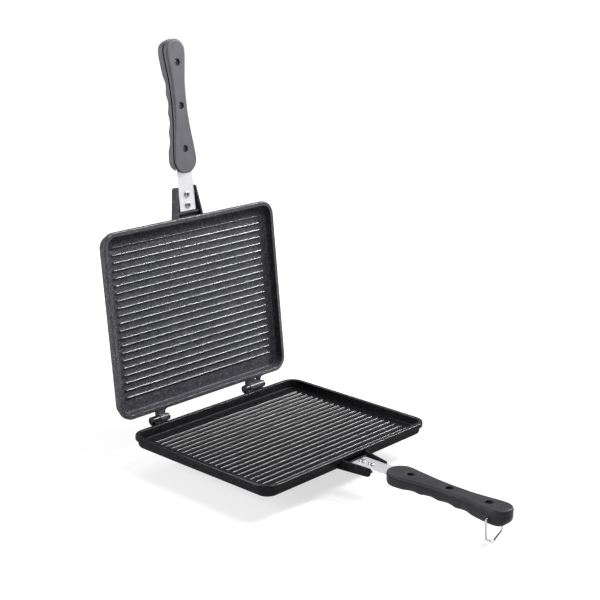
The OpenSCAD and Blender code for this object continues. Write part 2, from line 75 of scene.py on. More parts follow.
# %% Camera
LENS_MM, SENSOR_MM = 83.912, 36.0
EYE_MM = np.array([-1052.044, -961.116, 573.772])
camera_data = bpy.data.cameras.new("picture_camera")
camera_data.lens, camera_data.sensor_width = LENS_MM, SENSOR_MM
camera_data.shift_x, camera_data.shift_y = 0.03225, -0.0266
camera_data.clip_start, camera_data.clip_end = 0.05, 30.0
camera = bpy.data.objects.new("picture_camera", camera_data)
bpy.context.scene.collection.objects.link(camera)

right = np.array([0.6789732, -0.7340219, 0.0143962])
up = np.array([0.1879903, 0.1927802, 0.9630657])
forward = np.array([0.7096866, 0.6511894, -0.2688816])
place = np.eye(4)
place[:3, 0], place[:3, 1], place[:3, 2] = right, up, -forward
place[:3, 3] = EYE_MM * MM
camera.matrix_world = place.T
bpy.context.scene.camera = camera
print("camera", [round(v, 3) for v in place[:3, 3]])

# %% [markdown]
# ## Helpers for colours and nodes
#
# Colours are written as the hex values that an eye, or a colour chart, gives for them, and
# one function turns them to the linear values that Blender computes with. One small
# function adds a node with its settings and its links, so each material below reads as a
# list of what it is made of.

# %% Colour and node helpers
def linear(code):
    """sRGB hex to linear RGBA: a straight part below 0.04045, else a power of 2.4."""
    c = np.array([int(code[i:i + 2], 16) for i in (1, 3, 5)]) / 255
    rgb = np.where(c <= 0.04045, c / 12.92, ((c + 0.055) / 1.055) ** 2.4)
    return (*(float(v) for v in rgb), 1.0)


def add(tree, kind, inputs=None, **settings):
    """Adds a node: settings go to its properties, inputs to its sockets, as values or links."""
    node = tree.nodes.new(kind)
    for key, value in settings.items():
        setattr(node, key, value)
    for key, value in (inputs or {}).items():
        if isinstance(value, bpy.types.NodeSocket):
            tree.links.new(value, node.inputs[key])
        else:
            node.inputs[key].default_value = value
    return node


def new_material(name):
    """A material with an empty node tree, its output and its object coordinates."""
    material = bpy.data.materials.new(name)
    material.use_nodes = True
    tree = material.node_tree
    tree.nodes.clear()
    output = add(tree, "ShaderNodeOutputMaterial")
    where = add(tree, "ShaderNodeTexCoord").outputs["Object"]
    return material, tree, output, where


def mottled(tree, where, per_m, detail, body_hex, cloud_hex):
    """Two tones in soft patches: noise from 0.35 to 0.65 passes from one to the other. In a
    colour mix, sockets 6 and 7 are the two colours."""
    cloud = add(tree, "ShaderNodeTexNoise",
                {"Vector": where, "Scale": per_m, "Detail": detail, "Roughness": 0.6})
    share = add(tree, "ShaderNodeMapRange",
                {"Value": cloud.outputs["Fac"], "From Min": 0.35, "From Max": 0.65})
    return add(tree, "ShaderNodeMix", {"Factor": share.outputs[0], 6: linear(body_hex),
                                       7: linear(cloud_hex)}, data_type="RGBA").outputs[2]


print("a charcoal in linear values:", [round(v, 3) for v in linear("#404046")[:3]])

# %% [markdown]
# ## The nonstick coat
#
# The castings are sprayed with a fluoropolymer coat that holds mineral flecks, and baked. On
# the tray's floor it stays matt and pebbly, which gives the eye a dark, grainy charcoal. On
# ribs, walls and rim it flows thinner and is rubbed smooth, so it shows thin bright lines
# wherever an edge is rounded. One shader could only be matt or glossy, so two are mixed by
# the attribute that each casting carries. The lid's coat is the paler of the two, as in the
# picture. Flecks on such a coat are 0.2 to 0.5 mm, and its pebbles about as fine. A pixel of
# the picture is 1.1 mm on the pan, so both are drawn two to four times coarser.

# %% Nonstick coating
CLOUDS_PER_M = 260.0      # patches of tone, 3.8 mm apart
FLECKS_PER_M = 900.0      # one cell in 1.1 mm, of which two in five hold a fleck
PEBBLES_PER_M = 700.0     # 1.4 mm apart
MATT, GLOSSY = 0.6, 0.13  # roughness of the pebbly and of the rubbed coat
MATT_IOR, GLOSSY_IOR = 1.35, 1.5                # fluoropolymer, and the resin that binds it


def nonstick_coating(name, body_hex, cloud_hex, fleck_hex, sheen, polish):
    """Dark clouded coat with flecks: matt with a faint sheen on the tray's floor, and glossy,
    with a clear polish, where the attribute "rubbed" is 1."""
    material, tree, output, where = new_material(name)
    body = mottled(tree, where, CLOUDS_PER_M, 3.0, body_hex, cloud_hex)
    fleck = add(tree, "ShaderNodeTexVoronoi", {"Vector": where, "Scale": FLECKS_PER_M})
    spot = add(tree, "ShaderNodeMapRange", {
        "Value": fleck.outputs["Distance"], "From Min": 0.2, "From Max": 0.4,
        "To Min": 1.0, "To Max": 0.0})
    pick = add(tree, "ShaderNodeSeparateColor", {"Color": fleck.outputs["Color"]})
    few = add(tree, "ShaderNodeMapRange",
              {"Value": pick.outputs[0], "From Min": 0.6, "From Max": 1.0})
    share = add(tree, "ShaderNodeMath", {0: spot.outputs[0], 1: few.outputs[0]},
                operation="MULTIPLY")
    colour = add(tree, "ShaderNodeMix", {"Factor": share.outputs[0], 6: body,
                                         7: linear(fleck_hex)}, data_type="RGBA")
    pebble = add(tree, "ShaderNodeTexNoise",
                 {"Vector": where, "Scale": PEBBLES_PER_M, "Detail": 2.0, "Roughness": 0.6})
    grainy = add(tree, "ShaderNodeBump", {"Height": pebble.outputs["Fac"], "Strength": 0.5,
                                          "Distance": 0.0003})
    smooth = add(tree, "ShaderNodeBump", {"Height": pebble.outputs["Fac"], "Strength": 0.035,
                                          "Distance": 0.0002})
    floor = add(tree, "ShaderNodeBsdfPrincipled", {
        "Base Color": colour.outputs[2], "IOR": MATT_IOR, "Roughness": MATT,
        "Specular IOR Level": sheen, "Normal": grainy.outputs["Normal"]})
    rubbed = add(tree, "ShaderNodeBsdfPrincipled", {
        "Base Color": colour.outputs[2], "IOR": GLOSSY_IOR, "Roughness": GLOSSY,
        "Specular IOR Level": polish, "Normal": smooth.outputs["Normal"]})
    worn = add(tree, "ShaderNodeAttribute", attribute_name="rubbed")
    both = add(tree, "ShaderNodeMixShader", {0: worn.outputs["Fac"], 1: floor.outputs[0],
                                             2: rubbed.outputs[0]})
    tree.links.new(both.outputs[0], output.inputs[0])
    return material


lower_coat = nonstick_coating("lower_nonstick", "#121214", "#1d1d1f", "#414146", 0.02, 0.5)
upper_coat = nonstick_coating("upper_nonstick", "#2c2c30", "#404046", "#9c9ca4", 0.2, 0.95)
print("coats:", lower_coat.name, upper_coat.name)

# %% [markdown]
# ## The handles' resin
#
# Phenolic resin is pressed hot in a steel mould. It takes the mould's fine spark-eroded
# grain, so it gives the eye a soft, even grey without a clear reflection, a shade lighter
# where it faces a lamp. Powder that flows unevenly leaves it faintly mottled.

# %% Resin
MOTTLE_PER_M = 60.0       # patches, 17 mm apart
GRAIN_PER_M = 1500.0      # mould grain, 0.7 mm apart: the real 0.1 mm wouldn't show


def moulded_resin(name, body_hex, cloud_hex, roughness, sheen):
    """Compression-moulded phenolic resin: matt, fine-grained, faintly mottled."""
    material, tree, output, where = new_material(name)
    colour = mottled(tree, where, MOTTLE_PER_M, 4.0, body_hex, cloud_hex)
    grain = add(tree, "ShaderNodeTexNoise",
                {"Vector": where, "Scale": GRAIN_PER_M, "Detail": 2.0})
    bump = add(tree, "ShaderNodeBump", {"Height": grain.outputs["Fac"], "Strength": 0.3,
                                        "Distance": 0.0001})
    shader = add(tree, "ShaderNodeBsdfPrincipled", {
        "Base Color": colour, "Roughness": roughness, "Specular IOR Level": sheen,
        "Normal": bump.outputs["Normal"]})
    tree.links.new(shader.outputs[0], output.inputs[0])
    return material


lower_resin = moulded_resin("lower_phenolic_resin", "#242427", "#2d2d30", 0.42, 0.13)
upper_resin = moulded_resin("upper_phenolic_resin", "#47474c", "#505056", 0.55, 0.4)
print("resins:", lower_resin.name, upper_resin.name)

# %% [markdown]
# ## The steels
#
# All the small metal parts are steel, and only their last treatment tells them apart: rolled
# strip left satin, screws plated with zinc, wire drawn bright. Metal shows its surroundings in
# its own colour, so each has a colour, a roughness and a grain that makes the roughness waver.
# Some colours are painted light and shade: the strip's steel is painted almost white, as a
# painted reflection, and the handle screws are painted darker, as painted shade deep in their
# recesses. The strip's grain is drawn out along Y, the way that the lower strip was rolled.
# Rolling lines are 0.05 mm apart, and are drawn at 0.8 mm so that they show.

# %% Steels
STEEL_GRAIN_PER_M = 1200.0


def steel(name, code, roughness, stretch=(1, 1, 1)):
    """Steel whose roughness wavers by a fifth, in a grain that is drawn out by stretch."""
    material, tree, output, where = new_material(name)
    drawn = add(tree, "ShaderNodeMapping", {"Vector": where, "Scale": stretch})
    grain = add(tree, "ShaderNodeTexNoise",
                {"Vector": drawn.outputs[0], "Scale": STEEL_GRAIN_PER_M, "Detail": 2.0})
    rough = add(tree, "ShaderNodeMapRange", {
        "Value": grain.outputs["Fac"], "To Min": roughness * 0.8, "To Max": roughness * 1.2})
    shader = add(tree, "ShaderNodeBsdfPrincipled", {
        "Base Color": linear(code), "Metallic": 1.0, "Roughness": rough.outputs[0]})
    tree.links.new(shader.outputs[0], output.inputs[0])
    return material


# Strip steel is painted paler than bare steel, almost white: a painted reflection of the white
# surroundings, which mirror images show only as light grey.
tang_steel = steel("satin_strip_steel_painted_pale", "#ececef", 0.35, (1, 0.03, 1))  # pale, almost white
screw_steel = steel("zinc_plated_steel", "#939398", 0.25)     # tang screws: crisp glints
# Upper handle screws: a dull zinc, painted darker than the tang screws as painted shade deep in
# their recesses.
screw_painted_dim = steel("dull_zinc_steel_painted_dim", "#606064", 0.5)         # upper handle: dull, deep down
# Lower handle screws: zinc steel painted near black, as painted shade deep in their recesses.
screw_painted_dark = steel("recess_steel_painted_dark", "#2a2a2c", 0.35)     # lower handle: lost in the dark
wire_steel = steel("drawn_wire_steel", "#a8a8ac", 0.2)        # loop: bright along the wire
pin_steel = steel("blackened_steel", "#3a3a3d", 0.3)          # hinge pins
print("steels:", [m.name for m in (tang_steel, screw_steel, screw_painted_dim, screw_painted_dark,
                                   wire_steel, pin_steel)])

# %% [markdown]
# ## Helpers for shapes
#
# A piece could be modelled by hand from a cube or a cylinder, but then nothing says where its
# sizes come from. Every piece here is a surface worked out with numpy: rows of points over
# two parameters, in millimetres, drawn as a part of the lower half. The upper half is the
# mirror image of the lower one, turned open about the hinge, so one function carries its
# pieces there.

# %% The frame of the two halves
PAN_W, PAN_D, PAN_H = 260.0, 205.0, 14.5
HINGE_REACH, RIM_GAP = 8.75, 0.3
HINGE = np.array([0.0, PAN_D / 2 + HINGE_REACH, PAN_H + RIM_GAP / 2])
LID_OPEN = math.radians(97.4)
OPENING = np.array([[1, 0, 0], [0, math.cos(LID_OPEN), -math.sin(LID_OPEN)],
                    [0, -math.sin(LID_OPEN), -math.cos(LID_OPEN)]])
print("hinge axis at", HINGE, "mm")


def opened(shells):
    """Mirror in the rim plane, then a turn by the opening angle about the hinge axis."""
    return [((points - HINGE) @ OPENING.T + HINGE, faces) for points, faces in shells]


def closed(points):
    """The way back: the matrix is a mirror and a turn, so its transpose undoes it."""
    return (points - HINGE) @ OPENING + HINGE


def ease(t):
    """Smooth step from 0 to 1: three times the square less twice the cube."""
    c = np.clip(t, 0, 1)
    return c * c * (3 - 2 * c)


print("open lid's rim plane leans", round(math.degrees(LID_OPEN) - 90, 1), "degrees back")


# %% A skin over rows of points
def skin(points, wrap_rows=False, caps=()):
    """Shell over rows of points: each quad joins two neighbours in two neighbouring rows.

    Columns always close. Rows close where the profile is a ring, as on a bored barrel. A cap
    is a row, 0 or -1, that is closed with one flat face.
    """
    rows, cols = points.shape[:2]
    i, j = np.meshgrid(np.arange(rows if wrap_rows else rows - 1), np.arange(cols), indexing="ij")
    ring, on = i * cols, (j + 1) % cols
    above = (i + 1) % rows * cols
    faces = np.stack([ring + j, ring + on, above + on, above + j], -1).reshape(-1, 4).tolist()
    faces += [list(range(row % rows * cols, row % rows * cols + cols)) for row in caps]
    return points.reshape(-1, 3), faces


print("faces of a tube of 3 rows of 8:", len(skin(np.zeros((3, 8, 3)))[1]))


# %% Outlines with rounded corners
def rounded(corners, radii, steps=4, is_open=False):
    """Outline whose corners become arcs: each arc is an exact circle, written as a weighted
    quadratic curve between the points where it leaves the sides. An open one keeps its ends."""
    p = np.asarray(corners, float)
    before, after = np.roll(p, 1, 0) - p, np.roll(p, -1, 0) - p
    before /= np.linalg.norm(before, axis=1, keepdims=True) + 1e-12
    after /= np.linalg.norm(after, axis=1, keepdims=True) + 1e-12
    half = np.arccos(np.clip((before * after).sum(1), -1, 1)) / 2
    cut = (np.asarray(radii, float) / np.tan(half + 1e-9))[:, None, None]
    weight = np.sin(half)[:, None, None]
    t = np.linspace(0, 1, steps + 1)[None, :, None]
    a, b = p[:, None] + before[:, None] * cut, p[:, None] + after[:, None] * cut
    curve = (1 - t) ** 2 * a + 2 * t * (1 - t) * weight * p[:, None] + t ** 2 * b
    curve /= (1 - t) ** 2 + 2 * t * (1 - t) * weight + t ** 2
    if is_open:
        return np.vstack([p[:1], curve[1:-1].reshape(-1, 2), p[-1:]])
    return curve.reshape(-1, 2)


def outward(outline):
    """Unit normals of a closed outline that runs anticlockwise: its run, turned right."""
    run = np.roll(outline, -1, 0) - np.roll(outline, 1, 0)
    run /= np.linalg.norm(run, axis=1, keepdims=True)
    return np.stack([run[:, 1], -run[:, 0]], -1)


print("points on a rounded square:", len(rounded([[0, 0], [9, 0], [9, 9], [0, 9]], [2] * 4)))


# %% Plates and lathe work
PAN_AXES = "xyz"


def slab(outline, low, high, edge, steps=3):
    """Plate with rounded edges: the outline, drawn in along a quarter circle at both faces."""
    a = np.linspace(0, np.pi / 2, steps + 1)
    inset = edge * np.r_[1 - np.sin(a), 1 - np.sin(a[::-1])]
    height = np.r_[low + edge * (1 - np.cos(a)), high - edge * (1 - np.cos(a[::-1]))]
    plan = outline[None] - inset[:, None, None] * outward(outline)[None]
    return skin(np.dstack([plan, np.broadcast_to(height[:, None], plan.shape[:2])]), caps=(0, -1))


def turned(profile, sides=64, wrap_rows=False):
    """Lathe work: (radius, height) points carried round the Z axis."""
    r, h = np.asarray(profile, float).T
    a = np.arange(sides) * 2 * np.pi / sides
    return skin(np.dstack([np.outer(r, np.cos(a)), np.outer(r, np.sin(a)),
                           np.broadcast_to(h[:, None], (len(r), sides))]), wrap_rows)


def laid(shell, axes, place=(0, 0, 0)):
    """A shell with its axes laid along others, then moved: "zxy" puts its Z along X."""
    return shell[0][:, [PAN_AXES.index(axis) for axis in axes]] + place, shell[1]


print("a disc of 64 sides has", len(turned([[0, 0], [1, 0], [1, 1], [0, 1]])[1]), "faces")


# %% From shells to a piece
CREASE = math.radians(32)
MERGE_M = 2e-6


def joined(name, shells):
    """Closed shells in one mesh, in metres: doubled points merged, faces outwards."""
    starts = np.cumsum([0] + [len(points) for points, _ in shells])
    faces = [[start + i for i in face] for start, shell in zip(starts, shells) for face in shell[1]]
    mesh = bpy.data.meshes.new(name)
    mesh.from_pydata(np.concatenate([points for points, _ in shells]) * MM, [], faces)
    work = bmesh.new()
    work.from_mesh(mesh)
    bmesh.ops.remove_doubles(work, verts=work.verts, dist=MERGE_M)
    bmesh.ops.recalc_face_normals(work, faces=work.faces)
    work.to_mesh(mesh)
    work.free()
    return mesh


def smooth_over(made):
    """Smooth shading up to the crease angle, with normals that follow the larger faces."""
    made.data.shade_smooth()
    made.data.set_sharp_from_angle(angle=CREASE)
    made.modifiers.new("flat_faces_stay_flat", "WEIGHTED_NORMAL").keep_sharp = True


def piece(name, shells, material, slot, body, *replaced):
    """A finished object that rides on a body and stands for its CAD nodes."""
    made = bpy.data.objects.new(name, joined(name, shells))
    made.data.materials.append(material)
    bpy.context.scene.collection.objects.link(made)
    smooth_over(made)
    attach(made, body)
    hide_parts(*replaced)
    print(name, len(made.data.vertices), "points", len(made.data.polygons), "faces")
    return made


# %% [markdown]
# ## The cast halves
#
# Each half is a die casting: an even wall with a flat floor, a lip round the rim, ribs with
# round ends, and the bracket and the hinge arms in one piece with it. Every edge and inner
# corner of a casting is rounded, and those roundings draw the bright lines on it. A bevelled
# box with bars joined to it would have hard corners where the bars meet the floor. Instead
# one section carried round the rim's plan gives foot, wall, lip, rim and tray wall at once.
# The floor is a grid inside it, lifted into ribs by the distance to each rib's line.

# %% Section of a half
# Widths are from the line on which the corner arcs have their centres, CORNER_R inside the
# rim's outline. The section runs from the foot up over lip and rim and down into the tray.
CORNER_R, FLOOR_R = 17.0, 9.1
CORNER_X, CORNER_Y = PAN_W / 2 - CORNER_R, PAN_D / 2 - CORNER_R
TRAY_Z, LIP_Z = PAN_H - 9.8, PAN_H - 5.6
FOOT_R, UNDER_LIP_R, INNER_TOP_R, INNER_FOOT_R = 13.5, 14.1, 12.1, 11.1
section = rounded(
    [[FLOOR_R, 0], [FOOT_R, 0], [UNDER_LIP_R, LIP_Z], [CORNER_R, LIP_Z], [CORNER_R, PAN_H],
     [INNER_TOP_R, PAN_H], [INNER_FOOT_R, TRAY_Z], [FLOOR_R, TRAY_Z]],
    [0, 4.3, 0.9, 0.7, 1.5, 0.7, 1.9, 0], 6, True)
print("section points:", len(section))

# %% Ribs
RIB_PITCH, RIB_H, RIB_FOOT, RIB_COUNT = 8.25, 1.9, 3.4, 21
RIB_SLOPE, FOOT_SOFT, CREST_SOFT = 1.5, 0.5, 0.7
RIB_HL = PAN_W / 2 - 16.3
rib_y = PAN_D / 2 - 22.7 - RIB_PITCH * np.arange(RIB_COUNT)


def rib_height(x, y):
    """A flank that falls with the distance from the rib's line, rounded off against the
    floor and against the crest. The line stops half a rib's width before the rib does."""
    beyond = np.maximum(np.abs(x) - (RIB_HL - RIB_FOOT / 2), 0)
    away = np.hypot(beyond, np.min(np.abs(y[..., None] - rib_y), -1))
    flank = (RIB_FOOT / 2 - away) * RIB_SLOPE
    foot = np.maximum(flank, 0) + np.maximum(FOOT_SOFT - np.abs(flank), 0) ** 2 / (4 * FOOT_SOFT)
    crest = np.maximum(CREST_SOFT - np.abs(foot - RIB_H), 0) ** 2 / (4 * CREST_SOFT)
    return np.minimum(foot, RIB_H) - crest


print("ribs:", RIB_COUNT, "crest", round(float(rib_height(0.0, rib_y[:1])[0]), 2), "mm high")


# %% Rows and columns of the tray's grid
# Lines of the grid lie close together on the ribs' flanks and ends, and far apart elsewhere.
off_rib = np.array([0.35, 0.65, 0.95, 1.25, 1.6, 2.0])
grid_rows = np.sort((rib_y[:, None] + np.r_[-off_rib, 0, off_rib, RIB_PITCH / 2]).ravel())
in_corner = grid_rows[grid_rows < -CORNER_Y]
grid_rows = np.r_[-CORNER_Y, grid_rows[np.abs(grid_rows) < CORNER_Y - 0.05], CORNER_Y]
corner_turn = np.unique(np.r_[np.linspace(0, np.pi / 2, 15)[1:-1],
                              np.arcsin((-in_corner - CORNER_Y) / FLOOR_R)])
along_rib = np.r_[0:108:9, 108, 110.2, 111.2, 111.9, 112.4, 112.8, 113.2, 113.6, 114, 114.5,
                  115.3, 118, CORNER_X + FLOOR_R] / (CORNER_X + FLOOR_R)
grid_columns = np.r_[-along_rib[:0:-1], along_rib]
print("tray grid:", len(grid_rows), "rows", len(grid_columns), "columns")


# %% Tray
def tray():
    """The section carried round the rim, and the ribbed floor joined to its last ring.

    The rim's plan is a ring of (x, y, outward x, outward y): four sides and four quarter
    circles. A point of the section lies its width outwards from there, at its height.
    """
    turn, back = corner_turn, corner_turn[::-1]
    side_y, end_x = grid_rows, grid_columns * CORNER_X
    stretches = [
        (CORNER_X, side_y, 1, 0), (CORNER_X, CORNER_Y, np.cos(turn), np.sin(turn)),
        (-end_x, CORNER_Y, 0, 1), (-CORNER_X, CORNER_Y, -np.cos(back), np.sin(back)),
        (-CORNER_X, side_y[::-1], -1, 0), (-CORNER_X, -CORNER_Y, -np.cos(turn), -np.sin(turn)),
        (end_x, -CORNER_Y, 0, -1), (CORNER_X, -CORNER_Y, np.cos(back), -np.sin(back))]
    ring = np.concatenate([np.stack(np.broadcast_arrays(*part), -1) for part in stretches])
    plan = ring[None, :, :2] + section[:, :1, None] * ring[None, :, 2:]
    wall = skin(np.dstack([plan, np.broadcast_to(section[:, 1:], plan.shape[:2])]), caps=(0,))

    rise, reach = FLOOR_R * np.sin(turn), FLOOR_R * np.cos(turn)
    y = np.r_[-CORNER_Y - FLOOR_R, -CORNER_Y - rise[::-1], side_y, CORNER_Y + rise,
              CORNER_Y + FLOOR_R][:, None]
    half_row = CORNER_X + np.r_[0, reach[::-1], np.full(len(side_y), FLOOR_R), reach, 0]
    x = half_row[:, None] * grid_columns
    y = np.broadcast_to(y, x.shape)
    n, m = x.shape
    start = (np.arange(n - 1)[:, None] * m + np.arange(m - 1)).ravel()
    floor = (np.dstack([x, y, TRAY_Z + rib_height(x, y)]).reshape(-1, 3),
             np.stack([start, start + 1, start + m + 1, start + m], -1).tolist())
    return [wall, floor]


# %% [markdown]
# ## The bracket
#
# The casting reaches out towards the handle in two cheeks, which stand on edge and come
# closer together, with a web between them that the steel strip lies on. Under the web are
# bosses for the screws. It is made of plates with rounded edges that run into the wall, which
# looks as one casting does and needs no boolean cut.

# %% Bracket
RIM_Y, BRACKET_REACH = -PAN_D / 2, 33.5
BRACKET_END = RIM_Y - BRACKET_REACH
TANG_BACK, TANG_FRONT = PAN_H - 8.0, PAN_H - 6.0
CHEEK_T, CHEEK_EDGE, ROOT_HW, NARROWING = 2.6, 0.7, 20.0, 5.4
IN_WALL = 4.9                                   # how far bracket and shelves reach into the wall
BOSS_R, BOSS_BORE, BOSS_Z = 4.6, 2.0, 1.2
tang_screws = RIM_Y - 12.2 - 12 * np.arange(2)


def cheek(side):
    """A plate drawn from the side, carried outwards to the bracket's half width there."""
    outline = rounded([[BRACKET_END, 0.6], [RIM_Y + IN_WALL, 0.6],
                       [RIM_Y + IN_WALL, PAN_H - 2.7], [RIM_Y, PAN_H - 2.7],
                       [BRACKET_END, PAN_H - 4.5]], [3, 0.5, 0.5, 6, 0.8])
    points, faces = slab(outline, -CHEEK_T / 2, CHEEK_T / 2, CHEEK_EDGE)
    y, z, w = points.T
    half = ROOT_HW - NARROWING * np.clip((RIM_Y - y) / BRACKET_REACH, 0, 1) - CHEEK_T / 2
    return np.stack([side * half + w, y, z], -1), faces


def bracket():
    """Two cheeks, the web that the tang lies on, its shoulder, and the screw bosses."""
    web = rounded([[-13.6, BRACKET_END + 2], [13.6, BRACKET_END + 2], [19, RIM_Y],
                   [19, RIM_Y + IN_WALL], [-19, RIM_Y + IN_WALL], [-19, RIM_Y]],
                  [2, 2, 1, 1, 1, 1])
    shoulder = rounded([[-18.7, RIM_Y - 5.6], [18.7, RIM_Y - 5.6], [18.7, RIM_Y - 3],
                        [-18.7, RIM_Y - 3]], [0.4] * 4)
    boss = rounded([[BOSS_BORE, BOSS_Z], [BOSS_R, BOSS_Z], [BOSS_R, TANG_BACK - 0.5],
                    [BOSS_BORE, TANG_BACK - 0.5]], [0.2, 0.8, 0.2, 0.2])
    return [cheek(-1), cheek(1), slab(web, TANG_BACK - 3.2, TANG_BACK, CHEEK_EDGE),
            slab(shoulder, TANG_BACK - 1, PAN_H - 5.2, 0.6),
            *(laid(turned(boss, 48, True), PAN_AXES, (0, y, 0)) for y in tang_screws)]


print("bracket from", RIM_Y, "to", BRACKET_END, "mm")

# %% [markdown]
# ## Barrels and arms
#
# The hinge barrels are bored sleeves at the ends of flat arms, cast on to the lip. An arm
# widens in a hollow curve where it leaves the lip, because metal flows badly round a sharp
# inner corner and cracks there. A barrel is lathe work laid along the hinge's axis, and an
# arm is a plate whose outline has those curves.

# %% Hinge parts of the castings
BARREL_R, PIN_R, PIN_CLEAR = 4.85, 2.5, 0.06
LIP_OVERLAP = 2.5                               # how far an arm reaches into the lip
MAX_FILLET = 3.2
lower_barrels = [(-89.5, -79.0), (56.0, 63.0)]
upper_barrels = [(-78.5, -67.3), (63.5, 85.7)]


def barrel(x0, x1, bore):
    """A bored sleeve along the hinge axis, with rounded end faces."""
    ring = rounded([[bore, x0], [BARREL_R, x0], [BARREL_R, x1], [bore, x1]],
                   [0.25, 0.7, 0.7, 0.25])
    return laid(turned(ring, 72, True), "zxy", HINGE * [0, 1, 1])


def arm(x0, x1, flare_left, flare_right):
    """A plate from lip to barrel that widens towards the lip in a hollow curve."""
    rim = PAN_D / 2
    left, right_end = x0 - flare_left, x1 + flare_right
    outline = rounded(
        [[left, rim - LIP_OVERLAP], [right_end, rim - LIP_OVERLAP], [right_end, rim], [x1, rim],
         [x1, HINGE[1]], [x0, HINGE[1]], [x0, rim], [left, rim]],
        [0.3, 0.3, 0.15, min(MAX_FILLET, 0.9 * flare_right), 0.3, 0.3,
         min(MAX_FILLET, 0.9 * flare_left), 0.15], 6)
    return slab(outline, LIP_Z, PAN_H, 0.6)


def block(x0, x1, y0, y1, z0, z1, edge=0.5):
    """A cast block with rounded edges."""
    return slab(rounded([[x0, y0], [x1, y0], [x1, y1], [x0, y1]], [edge] * 4), z0, z1, edge)


# %% [markdown]
# ## Where the coat is rubbed
#
# Spatulas and cloths polish the ribs first, then the rim, and hardly reach the floor between
# the ribs. A mask could be painted by hand. Here each point gets its share from its height,
# by the same formula that raised the ribs, so the gloss sits exactly on the metal's high
# places. The lid is turned back to the lower half's place first.

# %% Where the coat is rubbed
WALL_SHARE = 0.1


def rub(casting, is_open, rim_share):
    """Writes the share of rubbed coat at each point. On the tray's floor it rises with the
    ribs from 0 to 1, and elsewhere it is small, with rim_share more on the rim."""
    flat = np.empty(len(casting.data.vertices) * 3)
    casting.data.vertices.foreach_get("co", flat)
    points = flat.reshape(-1, 3) / MM
    if is_open:
        points = closed(points)
    x, y, z = points.T
    rib = rib_height(x, y)
    floor = (np.abs(z - TRAY_Z - rib) < 0.1) & (np.abs(x) < CORNER_X + FLOOR_R)
    above_wall = WALL_SHARE + rim_share * ease(z - PAN_H + 1.5)
    share = np.where(floor, ease((rib - 0.25) / 0.5), above_wall)
    layer = casting.data.attributes.new("rubbed", "FLOAT", "POINT")
    layer.data.foreach_set("value", share)
    print(casting.name, "rubbed points:", int((share > 0.5).sum()), "of", len(share))


# %% [markdown]
# ## Shelves and heels
#
# What stops the lid when it is opened is cast on too. Under each upper barrel the lower half
# has a shelf, and the upper half has a heel that comes down on it at 97.4 degrees. The right
# arm of the upper half is cast with a window, which saves metal where the barrel is long. A
# window could be cut out. It is left open instead, between two arms and a block.

# %% Lower casting
STOP_TOP, STOP_T = HINGE[2] - BARREL_R - 0.5, 3
SHELF_END, SHELF_GAP = HINGE[1] - 1, 0.5
lower_parts = tray() + bracket()
for x0, x1 in lower_barrels:
    lower_parts += [barrel(x0, x1, PIN_R), arm(x0, x1, 5.5, 0.3)]
for x0, x1 in upper_barrels:
    lower_parts.append(block(x0 + SHELF_GAP, x1 - SHELF_GAP, PAN_D / 2 - IN_WALL, SHELF_END,
                             STOP_TOP - STOP_T, STOP_TOP))
lower_casting = piece("lower_casting", lower_parts, lower_coat, "lower_coating", "lower",
                      "lower_pan")
rub(lower_casting, False, 0.45)

# %% Upper casting
upper_parts = tray() + bracket()
(x0, x1), (w0, w1) = upper_barrels
upper_parts += [barrel(x0, x1, PIN_R + PIN_CLEAR), arm(x0, x1, 1, 3.5),
                barrel(w0, w1, PIN_R + PIN_CLEAR), arm(w0, w1 - 10, 1, 0.3),
                arm(w1 - 4, w1, 0.3, 3.5),
                block(w0 + 0.3, w1 - 0.3, PAN_D / 2 + 2.8, HINGE[1], LIP_Z, PAN_H, 0.3)]
upper_parts = opened(upper_parts)
for x0, x1 in upper_barrels:
    upper_parts.append(block(x0 + SHELF_GAP, x1 - SHELF_GAP, SHELF_END + 0.05, HINGE[1] + 2.25,
                             STOP_TOP - STOP_T, HINGE[2] - PIN_R - 0.6))
upper_casting = piece("upper_casting", upper_parts, upper_coat, "upper_coating", "lid",
                      "upper_pan")
rub(upper_casting, True, 0.25)

# %% [markdown]
# ## Pins
#
# Each hinge turns on a headed steel pin, pressed into the lower half's barrel and free in
# the upper half's. A cylinder with a bevel would nearly do, but the head is domed more than
# the other edges. It is lathe work, so it is drawn as a profile carried round its axis.

# %% Hinge pins
HEAD_R, HEAD_L, HEAD_GAP = 4.1, 3.4, 0.15
for side, start, joint in (("left", -88.9, -67.3), ("right", 56.6, 85.7)):
    neck = joint + HEAD_GAP
    profile = rounded([[0, start], [PIN_R, start], [PIN_R, neck], [HEAD_R, neck],
                       [HEAD_R, neck + HEAD_L], [0, neck + HEAD_L]], [0, 0.6, 0.1, 0.4, 1.3, 0],
                      5, True)
    piece(side + "_pin", [laid(turned(profile, 64), "zxy", HINGE * [0, 1, 1])], pin_steel,
          "pin_steel", "lower", side + "_hinge_pin")

# %% [markdown]
# ## Tangs
#
# The tang is a strip of stainless steel, 2 mm thick, cut off a coil and punched, so its edges
# are only broken. It lies in the bracket and runs inside the handle almost to its far end,
# where it is narrower. It could be a stretched cube, but the shoulders where it narrows are
# curved, so it is an outline made into a plate. The screws stand on it and hide its holes.

# %% Tangs
HANDLE_Y, HANDLE_L = RIM_Y - 48.3, 147.2
STRIP_HW, INNER_HW = 11.65, 6.5
strip_end, wide_to, narrow_from = HANDLE_Y - HANDLE_L + 8, HANDLE_Y - 10, HANDLE_Y - 22
strip = rounded([[-STRIP_HW, RIM_Y - 6.2], [-STRIP_HW, wide_to], [-INNER_HW, narrow_from],
                 [-INNER_HW, strip_end], [INNER_HW, strip_end], [INNER_HW, narrow_from],
                 [STRIP_HW, wide_to], [STRIP_HW, RIM_Y - 6.2]], [0.5, 4, 4, 2, 2, 4, 4, 0.5])
for half, body, carry in (("lower", "lower", list), ("upper", "lid", opened)):
    piece(half + "_strip", carry([slab(strip, TANG_BACK, TANG_FRONT, 0.3)]), tang_steel,
          "tang_steel", body, half + "_tang")

